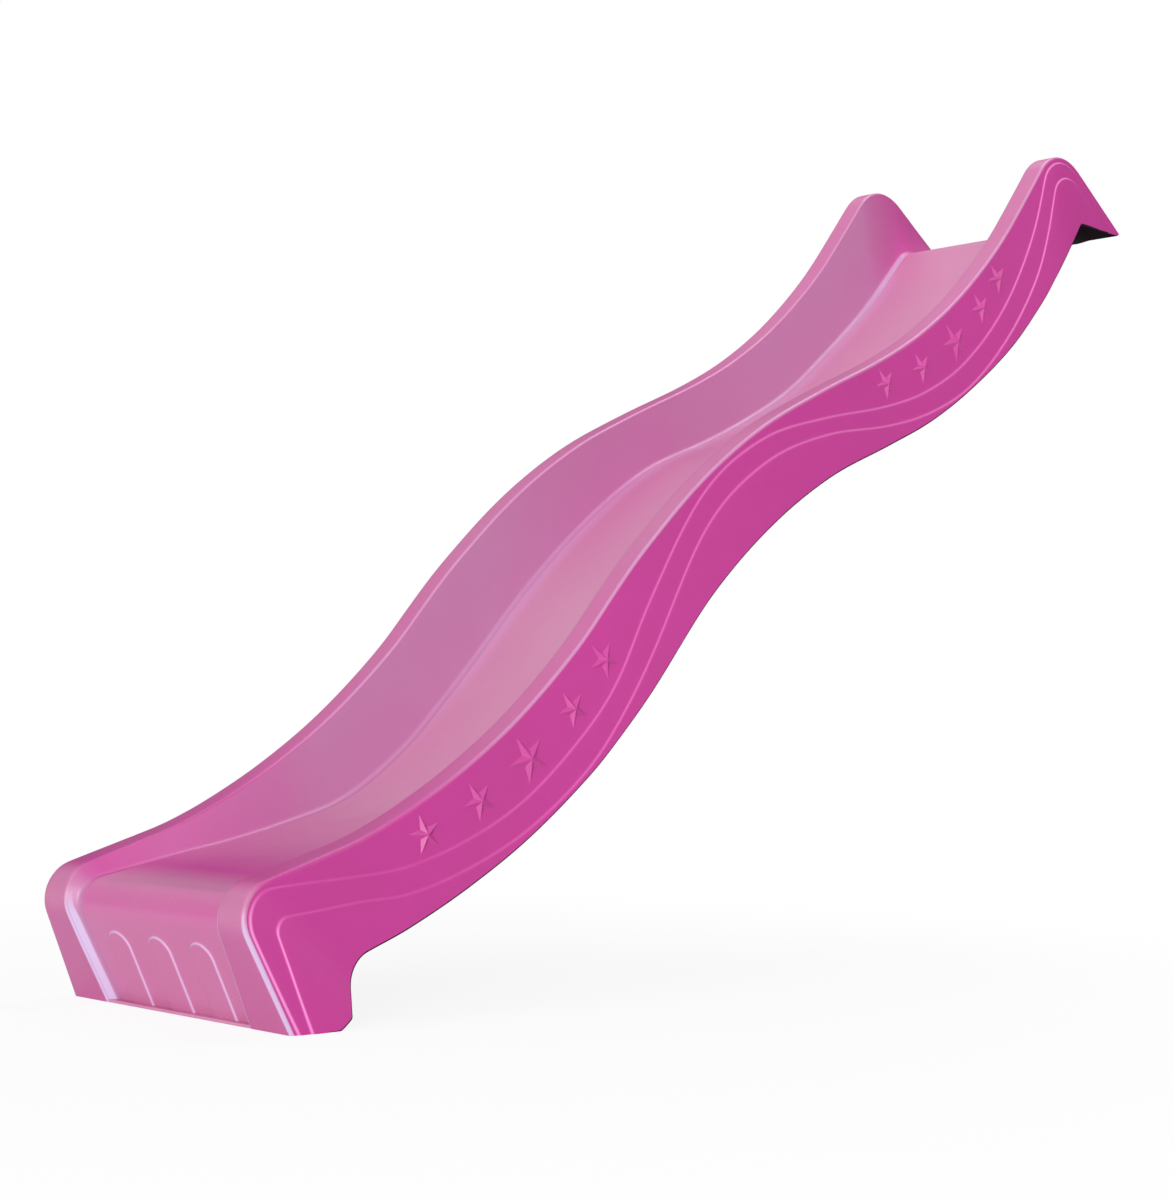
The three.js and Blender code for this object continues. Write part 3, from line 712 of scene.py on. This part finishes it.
def rough_underside(name, colour):
    material = bpy.data.materials.new(name)
    material.use_nodes = True
    tree = material.node_tree
    shader = tree.nodes["Principled BSDF"]
    shader.inputs["Roughness"].default_value = 0.8
    shader.inputs["Specular IOR Level"].default_value = 0.2
    place = add_node(tree, "ShaderNodeTexCoord", -1000, 0)
    skin = add_node(tree, "ShaderNodeGroup", -700, 0, node_tree=grain)
    skin.inputs["Peel Scale"].default_value = 120
    tint = add_node(tree, "ShaderNodeMix", -300, 200, data_type="RGBA")
    tint.inputs["A"].default_value = linear(*colour)
    tint.inputs["B"].default_value = linear(*[part * underside_cloud_share for part in colour])
    bump = add_node(tree, "ShaderNodeBump", -300, -200)
    bump.inputs["Strength"].default_value = 0.8
    bump.inputs["Distance"].default_value = underside_grain_depth
    wire(tree, place, "Object", skin, "Place")
    wire(tree, skin, "Cloud", tint, "Factor")
    wire(tree, tint, "Result", shader, "Base Color")
    wire(tree, skin, "Height", bump, "Height")
    wire(tree, bump, "Normal", shader, "Normal")
    return material


pink = (196, 46, 146)
pale_pink = (228, 165, 205)
# Colours of painted highlights, and of the pale haze that is part wear, part painted sheen.
corner_highlight_colour = (208, 192, 226)
step_highlight_colour = (236, 150, 208)
bed_highlight_colour = (214, 156, 208)
sheen_and_wear_pink = (202, 140, 171)
sheen_and_wear_foot = (211, 144, 178)
sheen_and_wear_wall = (187, 124, 166)
# Painted shade: the underside is near-black, where the real plastic is pink.
underside_shade_colour = (30, 7, 22)
underside = rough_underside("underside", underside_shade_colour)


def dress(piece, *nodes):
    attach(piece, "root")
    if nodes:
        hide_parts(*nodes)


bed_plastic = pink_plastic(
    "bed_plastic", sheen_and_wear_pink, 0.95, 0.45, bed_highlight_colour, scratch_amount=0.3, specular=0.45)
run_out_row = wave_row - 4
bed_surface = both_halves(run_out_row, lip_row, bed_column)
# Painted highlight: the bed beside each crease is painted pale, as the crease catches the light.
bed_highlight_width = 0.045
bed_highlight_share = np.interp(row_numbers[run_out_row:lip_row + 1], [15, 23, 44, 49], [0, 1, 1, 0])
from_edge = np.abs(bed_surface[:, :1, 1]) - np.abs(bed_surface[..., 1])
bed_highlight = bed_highlight_share[:, None] * np.clip(1 - from_edge / bed_highlight_width, 0, 1)
sliding_bed = moulded_sheet(
    "sliding_bed", bed_plastic, bed_surface, wear_and_sheen("bed", run_out_row, lip_row), bed_highlight)
dress(sliding_bed, "lower_bed", "middle_bed", "upper_bed", "head_bed")


# Foot nose. The end of the run-out rolls over here and turns down to the ground, in the
# same sheet as the bed, with a wide soft rounding that a child's legs pass over.
foot_plastic = pink_plastic(
    "foot_plastic", sheen_and_wear_foot, 0.95, 0.85, corner_highlight_colour, scratch_amount=0.3, specular=0.45)
nose_surface = both_halves(nose_row, run_out_row, bed_column)
foot_nose = moulded_sheet(
    "foot_nose", foot_plastic, nose_surface, wear_and_sheen("bed", nose_row, run_out_row))
dress(foot_nose, "foot_nose")


# Foot apron. The flat front of the foot, which leans back to the ground, with three soft
# raised pads pressed into it that stiffen the sheet.
pad_count = 3
pad_width = 0.054
pad_pitch = 0.105
pad_top = 0.128
pad_corner = 0.027
pad_height = 0.003
pad_slope = 0.005
apron_columns = 260
apron_rows = 90


def pad_rise(y, height):
    rise = np.zeros(y.shape)
    for k in range(pad_count):
        sideways = np.abs(y - pad_pitch * (k - (pad_count - 1) / 2)) - (pad_width / 2 - pad_corner)
        upwards = height - (pad_top - pad_corner)
        past = np.hypot(np.maximum(sideways, 0), np.maximum(upwards, 0)) - pad_corner
        part = np.clip(0.5 - past / pad_slope, 0, 1)
        rise += part * part * (3 - 2 * part)
    return rise


apron_line = np.arange(nose_row + 1)
apron_fine = np.linspace(0, nose_row, apron_rows)
apron_halves = [np.interp(apron_fine, apron_line, bed_side[:nose_row + 1, k]) for k in range(3)]
apron_across = np.linspace(1, -1, apron_columns)
apron = np.stack([
    np.repeat(apron_halves[0][:, None], apron_columns, axis=1),
    apron_halves[1][:, None] * apron_across[None, :],
    np.repeat(apron_halves[2][:, None], apron_columns, axis=1)], axis=-1)
apron_out = np.array([-math.cos(front_lean), 0, -math.sin(front_lean)])
apron_up = apron[..., 2] / math.cos(front_lean)
apron_rise = pad_rise(apron[..., 1], apron_up)
# Painted highlight along the flanks of each pad.
apron_flank_highlight = 4 * apron_rise * (1 - apron_rise)
apron = apron + pad_height * apron_rise[..., None] * apron_out
apron_wear_and_sheen = np.interp(apron_fine / fine, wear_and_sheen_rows, wear_and_sheen_shares["bed"])
foot_apron = moulded_sheet("foot_apron", foot_plastic, apron, apron_wear_and_sheen, apron_flank_highlight)
dress(foot_apron, "foot_apron")


# Ground flange. A narrow strip of the sheet turned forward along the foot of the apron,
# flat on the ground between the rims, trimmed after moulding.
flange_depth = 0.022
flange_edge_radius = 0.0012
flange_half = float(bed_side[0, 1])
flange_front_half = float(rim_in[0, 1])
bpy.ops.object.select_all(action="DESELECT")
bpy.ops.mesh.primitive_cube_add(size=1, location=(flange_depth / 2, 0, shell_thickness / 2))
ground_flange = bpy.context.object
ground_flange.name = "ground_flange"
ground_flange.data.name = "ground_flange"
ground_flange.scale = (flange_depth, 2 * flange_half, shell_thickness)
bpy.ops.object.transform_apply(location=True, rotation=False, scale=True)
for corner in ground_flange.data.vertices:
    if corner.co.x < flange_depth / 2:
        corner.co.y = math.copysign(flange_front_half, corner.co.y)
bpy.ops.object.mode_set(mode="EDIT")
bpy.ops.mesh.select_all(action="SELECT")
bpy.ops.mesh.bevel(offset=flange_edge_radius, segments=3, affect="EDGES")
bpy.ops.object.mode_set(mode="OBJECT")
bpy.ops.object.shade_smooth_by_angle(angle=smooth_angle)
write_marks(ground_flange, "wear_and_sheen", np.ones(len(ground_flange.data.vertices)))
ground_flange.data.materials.append(foot_plastic)
dress(ground_flange, "ground_flange")


# Head lip. The flat end of the sheet lies on the deck of a play tower, and two screws
# through it hold the slide. It is drilled after moulding.
hole_radius = 0.004
hole_spread = 0.24
hole_inset = 0.06
lip_surface = both_halves(lip_row, rows - 1, bed_column)
lip_free = np.zeros(lip_surface.shape[:2], dtype=bool)
lip_free[-1] = True
head_lip = moulded_sheet(
    "head_lip", bed_plastic, lip_surface, wear_and_sheen("bed", lip_row, rows - 1), free_edge=lip_free)
for side in (-1, 1):
    bpy.ops.object.select_all(action="DESELECT")
    bpy.ops.mesh.primitive_cylinder_add(
        vertices=48, radius=hole_radius, depth=4 * shell_thickness,
        location=(run_length - hole_inset, side * hole_spread / 2, lip_top - shell_thickness / 2))
    drill = bpy.context.object
    bpy.context.view_layer.objects.active = head_lip
    cut = head_lip.modifiers.new("hole", "BOOLEAN")
    cut.operation = "DIFFERENCE"
    cut.solver = "EXACT"
    cut.object = drill
    bpy.ops.object.modifier_apply(modifier="hole")
    bpy.data.objects.remove(drill)
dress(head_lip, "head_lip")


# Inner walls. The two sides of the trough, drafted outwards, rise from a rounded crease
# along the bed to the rims and keep the child on the slide. Along the crease, on the
# outward roundings, and in a strip beside the rim on the front of the foot, a pale
# highlight is painted on.
bays = ("foot", "lower", "middle", "upper", "head")
wall_plastic = pink_plastic("wall_plastic", sheen_and_wear_wall, 1, 0.95, corner_highlight_colour, specular=0.6)
wall_highlight_share = 0.3
crease_highlight_width = 0.022
crease_highlight_rows = [15, 23, 38, 44, 49.5, 51.5]
crease_highlight_shares = [0, 0.4, 0.4, 0.85, 0.85, 0]
crease_highlight_share = np.interp(row_numbers, crease_highlight_rows, crease_highlight_shares)
ramp_highlight_rows = [0, 3, 6.6]
ramp_highlight_widths = [0.0125, 0.0115, 0.006]
ramp_highlight_width = np.interp(row_numbers, ramp_highlight_rows, ramp_highlight_widths)
ramp_highlight_edge = 0.004
wall_wear_and_sheen = wear_and_sheen("wall", 0, rows - 1)
for side in ("left", "right"):
    wall_surface = one_side(side, bed_column, wall_column)
    low_side, high_side = (0, -1) if side == "left" else (-1, 0)
    from_bed = np.linalg.norm(wall_surface - wall_surface[:, low_side][:, None], axis=2)
    from_rim = np.linalg.norm(wall_surface - wall_surface[:, high_side][:, None], axis=2)
    ramp_highlight = np.clip((ramp_highlight_width[:, None] - from_rim) / ramp_highlight_edge + 0.5, 0, 1)
    wall_highlight = np.maximum.reduce([
        wall_highlight_share * tightness(wall_surface),
        crease_highlight_share[:, None] * np.clip(1 - from_bed / crease_highlight_width, 0, 1),
        front_highlight_share[:, None] * ramp_highlight])
    inner_wall = moulded_sheet(
        f"{side}_wall", wall_plastic, wall_surface, wall_wear_and_sheen, wall_highlight)
    dress(inner_wall, *[f"{bay}_{side}_wall" for bay in bays])


# Rims. The flat rounded top edges that hands hold on to, wider at the foot and behind the
# ears, hazed pale partly by use and partly by a painted sheen, with a painted highlight
# along their roundings.
rim_plastic = pink_plastic(
    "rim_plastic", sheen_and_wear_pink, 1, 0.9, corner_highlight_colour, roughness=0.33, specular=0.4)
rim_highlight_rows = [7, 12, 18, 36, 46, 50]
rim_highlight_shares = [0.05, 0.1, 0.47, 0.4, 0.4, 0.1]
rim_highlight_share = np.interp(row_numbers, rim_highlight_rows, rim_highlight_shares)
rim_wear_and_sheen = wear_and_sheen("rim", 0, rows - 1)
for side in ("left", "right"):
    rim_surface = one_side(side, wall_column, panel_column)
    rim_highlight = tightness(rim_surface) * np.maximum(rim_highlight_share, front_highlight_share)[:, None]
    rim = moulded_sheet(f"{side}_rim", rim_plastic, rim_surface, rim_wear_and_sheen, rim_highlight)
    dress(rim, *[f"{bay}_{side}_rim" for bay in bays])


# Side panels. The outer skirts that hang from the rims and stand on the ground at the
# foot, stiffened by two stepped waves, with a highlight painted along the steps, and
# trimmed along their lower edge, where a thin strip is painted dark as shade.
panel_plastic = pink_plastic(
    "panel_plastic", sheen_and_wear_pink, 0.12, 0.8, step_highlight_colour,
    scratch_amount=0.05, roughness=0.42, specular=0.45)
panel_wear_and_sheen_base = 0.5
panel_wear_and_sheen = panel_wear_and_sheen_base + (1 - panel_wear_and_sheen_base) * rim_wear_and_sheen
# Painted highlight: a pale line along the middle of each step.
step_highlight_profile = np.sin(np.linspace(0, math.pi, len(first_step))) ** 2
step_highlight_marks = np.zeros(half_shell.shape[1] - panel_column)
step_highlight_marks[first_step_column:first_step_column + len(first_step)] = step_highlight_profile
step_highlight_marks[second_step_column:second_step_column + len(second_step)] = step_highlight_profile
step_highlight_rows = [0, 3, 8, 14, 20, 38, 42, 60]
step_highlight_shares = [1, 1, 0.25, 0.25, 0.45, 0.5, 0.8, 0.75]
step_highlight_share = np.interp(row_numbers, step_highlight_rows, step_highlight_shares)
last_column = half_shell.shape[1] - 1
for side in ("left", "right"):
    low_side, marks = (-1, step_highlight_marks) if side == "left" else (0, step_highlight_marks[::-1])
    panel_surface = one_side(side, panel_column, last_column)
    panel_free = np.zeros(panel_surface.shape[:2], dtype=bool)
    panel_free[:, low_side] = True
    # The faces next to the lower edge take the underside colour: a painted shade line.
    panel_shaded_edge_faces = np.zeros(np.array(panel_free.shape) - 1, dtype=int)
    panel_shaded_edge_faces[:, low_side] = 1
    panel_highlight = step_highlight_share[:, None] * marks
    side_panel = moulded_sheet(
        f"{side}_panel", panel_plastic, panel_surface, panel_wear_and_sheen, panel_highlight,
        panel_free, panel_shaded_edge_faces)
    dress(side_panel, *[f"{bay}_{side}_panel" for bay in bays])


# Stars. Ten five-pointed stars stand out of each side panel, part of the same moulding,
# with a ridge along each arm. Two of them are larger than the rest.
star_arms = 5
star_radius = 0.036
large_star_radius = 0.046
star_height = 0.0078
star_sink = 0.001
star_waist_share = 0.36
star_edge_radius = 0.0006
star_edge_angle = math.radians(8)
star_shares = [
    (0.1186, 0.222), (0.1673, 0.283), (0.2142, 0.330), (0.2573, 0.348), (0.2896, 0.322),
    (0.6322, 0.213), (0.6823, 0.278), (0.7310, 0.317), (0.7709, 0.291), (0.7980, 0.243),
]
large_stars = (2, 7)
star_tilt = -92
other_star_tilts = {0: -109, 4: -80}

bpy.ops.object.select_all(action="DESELECT")
bpy.ops.mesh.primitive_cone_add(
    vertices=2 * star_arms, radius1=1, radius2=0, depth=1, end_fill_type="TRIFAN",
    location=(0, 0, 0.5))
star_pattern = bpy.context.object
bpy.ops.object.transform_apply(location=True, rotation=False, scale=False)
for number in range(2 * star_arms):
    angle = math.pi / 2 - math.pi * number / star_arms
    corner = Vector((math.cos(angle), math.sin(angle), 0))
    nearest = min(star_pattern.data.vertices, key=lambda vertex: (vertex.co - corner).length)
    nearest.co = nearest.co * (1 if number % 2 == 0 else star_waist_share)
bpy.ops.object.mode_set(mode="EDIT")
bpy.ops.mesh.select_all(action="SELECT")
bpy.ops.mesh.subdivide(number_cuts=3)
bpy.ops.object.mode_set(mode="OBJECT")
star_form = np.array([vertex.co for vertex in star_pattern.data.vertices])

for side, sign in (("left", -1), ("right", 1)):
    for number, (run_share, depth_share) in enumerate(star_shares):
        star = star_pattern.copy()
        star.data = star_pattern.data.copy()
        star.name = f"{side}_star_{number + 1:02d}"
        star.data.name = star.name
        bpy.context.scene.collection.objects.link(star)
        radius = large_star_radius if number in large_stars else star_radius
        turn_angle = math.radians(other_star_tilts.get(number, star_tilt) - 90)
        turned_cos, turned_sin = math.cos(turn_angle), math.sin(turn_angle)
        across_star = radius * (star_form[:, 0] * turned_cos - star_form[:, 1] * turned_sin)
        up_star = radius * (star_form[:, 0] * turned_sin + star_form[:, 1] * turned_cos)
        centre_x = run_share * run_length
        centre_z = wave_value(centre_x, 1) * platform_height - depth_share * skirt_depth
        line = np.stack([centre_x + across_star, centre_z + up_star], axis=-1)
        places = on_panel(line, star_form[:, 2] * (star_height + star_sink) - star_sink)
        places[:, 1] *= sign
        star.data.vertices.foreach_set("co", places.reshape(-1))
        star.data.update()
        bpy.ops.object.select_all(action="DESELECT")
        star.select_set(True)
        bpy.context.view_layer.objects.active = star
        bpy.ops.object.mode_set(mode="EDIT")
        bpy.ops.mesh.select_all(action="SELECT")
        bpy.ops.mesh.normals_make_consistent(inside=False)
        bpy.ops.object.mode_set(mode="OBJECT")
        softened = star.modifiers.new("softened", "BEVEL")
        softened.width = star_edge_radius
        softened.segments = 2
        softened.angle_limit = star_edge_angle
        bpy.ops.object.modifier_apply(modifier="softened")
        write_marks(star, "wear_and_sheen", np.ones(len(star.data.vertices)))
        star.data.materials.append(panel_plastic)
        dress(star)
bpy.data.objects.remove(star_pattern)

# The whole slide was laid out from its front edge, and its origin is the middle of the
# ground flange.
for piece in list(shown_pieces()):
    if "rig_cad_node" not in piece:
        piece.data.transform(Matrix.Translation((-flange_depth / 2, 0, 0)))


# Floor. A pale studio floor that keeps a soft shadow near the slide and fades to white.
floor_colour = linear(235, 235, 236)
shadow_colour = linear(95, 95, 96)
floor_size = 120
floor_middle = 1
floor_drop = 0.0005
shadow_middle = 0.35
shadow_reach = 0.5
white_reach = 2.2
floor_glow = 0.89
bpy.ops.object.select_all(action="DESELECT")
bpy.ops.mesh.primitive_plane_add(size=floor_size, location=(floor_middle, 0, -floor_drop))
floor = bpy.context.object
floor.name = "studio_floor"
bpy.ops.object.transform_apply(location=True, rotation=False, scale=False)
floor_material = bpy.data.materials.new("studio_floor")
floor_material.use_nodes = True
floor_tree = floor_material.node_tree
floor_tree.nodes.clear()
floor_end = add_node(floor_tree, "ShaderNodeOutputMaterial", 900, 0)
floor_light = add_node(floor_tree, "ShaderNodeLightPath", -300, 500)
floor_place = add_node(floor_tree, "ShaderNodeTexCoord", -900, 0)
floor_centre = add_node(floor_tree, "ShaderNodeMapping", -700, 0)
floor_centre.inputs["Location"].default_value = (-shadow_middle, 0, 0)
floor_reach = add_node(floor_tree, "ShaderNodeVectorMath", -500, 0, operation="LENGTH")
floor_fade = add_node(
    floor_tree, "ShaderNodeMapRange", -300, 0, interpolation_type="SMOOTHSTEP")
floor_fade.inputs["From Min"].default_value = shadow_reach
floor_fade.inputs["From Max"].default_value = white_reach
floor_diffuse = add_node(floor_tree, "ShaderNodeBsdfDiffuse", -100, 200)
floor_diffuse.inputs["Color"].default_value = floor_colour
floor_pale = add_node(floor_tree, "ShaderNodeBsdfDiffuse", -100, 400)
floor_pale.inputs["Color"].default_value = shadow_colour
floor_white = add_node(floor_tree, "ShaderNodeEmission", -100, -200)
floor_lift = add_node(floor_tree, "ShaderNodeEmission", -100, -400)
floor_lift.inputs["Strength"].default_value = floor_glow
floor_sum = add_node(floor_tree, "ShaderNodeAddShader", 200, 100)
floor_mix = add_node(floor_tree, "ShaderNodeMixShader", 400, 0)
floor_seen = add_node(floor_tree, "ShaderNodeMixShader", 650, 0)
wire(floor_tree, floor_place, "Object", floor_centre, "Vector")
wire(floor_tree, floor_centre, "Vector", floor_reach, 0)
wire(floor_tree, floor_reach, "Value", floor_fade, "Value")
wire(floor_tree, floor_pale, "BSDF", floor_sum, 0)
wire(floor_tree, floor_lift, "Emission", floor_sum, 1)
wire(floor_tree, floor_fade, "Result", floor_mix, "Fac")
wire(floor_tree, floor_sum, "Shader", floor_mix, 1)
wire(floor_tree, floor_white, "Emission", floor_mix, 2)
wire(floor_tree, floor_light, "Is Camera Ray", floor_seen, "Fac")
wire(floor_tree, floor_diffuse, "BSDF", floor_seen, 1)
wire(floor_tree, floor_mix, "Shader", floor_seen, 2)
wire(floor_tree, floor_seen, "Shader", floor_end, "Surface")
floor.data.materials.append(floor_material)


# Studio light. A white backdrop seen by the camera, a sky for reflections that is dark
# near the horizon, a softer white all round for the light itself, and two soft boxes.
horizon_rise = 0.42
sky_rise = 0.82
horizon_glow = 0.12
sky_glow = 1.2
soft_glow = 0.42
world = bpy.data.worlds.new("studio")
bpy.context.scene.world = world
world.use_nodes = True
world_tree = world.node_tree
world_tree.nodes.clear()
world_end = add_node(world_tree, "ShaderNodeOutputWorld", 900, 0)
world_path = add_node(world_tree, "ShaderNodeLightPath", -600, 500)
world_way = add_node(world_tree, "ShaderNodeTexCoord", -900, 0)
world_height = add_node(world_tree, "ShaderNodeSeparateXYZ", -700, 0)
world_dim = add_node(
    world_tree, "ShaderNodeMapRange", -500, 0, interpolation_type="SMOOTHSTEP")
world_dim.inputs["From Min"].default_value = horizon_rise
world_dim.inputs["From Max"].default_value = sky_rise
world_dim.inputs["To Min"].default_value = horizon_glow
world_dim.inputs["To Max"].default_value = sky_glow
world_white = add_node(world_tree, "ShaderNodeBackground", 0, 200)
world_gloss = add_node(world_tree, "ShaderNodeBackground", 0, 0)
world_soft = add_node(world_tree, "ShaderNodeBackground", 0, -200)
world_soft.inputs["Strength"].default_value = soft_glow
for shade in (world_white, world_gloss, world_soft):
    shade.inputs["Color"].default_value = (1, 1, 1, 1)
world_clear = add_node(world_tree, "ShaderNodeMath", 0, 500, operation="MAXIMUM")
world_mirrored = add_node(world_tree, "ShaderNodeMixShader", 300, -100)
world_seen = add_node(world_tree, "ShaderNodeMixShader", 600, 0)
wire(world_tree, world_way, "Generated", world_height, "Vector")
wire(world_tree, world_height, "Z", world_dim, "Value")
wire(world_tree, world_dim, "Result", world_gloss, "Strength")
wire(world_tree, world_path, "Is Glossy Ray", world_mirrored, "Fac")
wire(world_tree, world_soft, "Background", world_mirrored, 1)
wire(world_tree, world_gloss, "Background", world_mirrored, 2)
wire(world_tree, world_path, "Is Camera Ray", world_clear, 0)
wire(world_tree, world_path, "Is Transmission Ray", world_clear, 1)
wire(world_tree, world_clear, "Value", world_seen, "Fac")
wire(world_tree, world_mirrored, "Shader", world_seen, 1)
wire(world_tree, world_white, "Background", world_seen, 2)
wire(world_tree, world_seen, "Shader", world_end, "Surface")


def soft_box(name, place, aim, width, height, power):
    bpy.ops.object.select_all(action="DESELECT")
    bpy.ops.object.light_add(type="AREA", location=place)
    lamp = bpy.context.object
    lamp.name = name
    lamp.rotation_euler = (Vector(aim) - Vector(place)).to_track_quat("-Z", "Y").to_euler()
    lamp.data.shape = "RECTANGLE"
    lamp.data.size = width
    lamp.data.size_y = height
    lamp.data.energy = power
    return lamp


slide_middle = (1.05, 0, 0.7)
slide_foot = (0.3, 0, 0.3)
key_place = (-15.5, -12.9, 4.4)
high_place = (2.8, 0.3, 5.2)
soft_box("box_key", key_place, slide_middle, width=10, height=8.5, power=3670)
soft_box("box_high", high_place, slide_foot, width=2.4, height=2, power=62)

bpy.context.scene.view_settings.view_transform = "Standard"
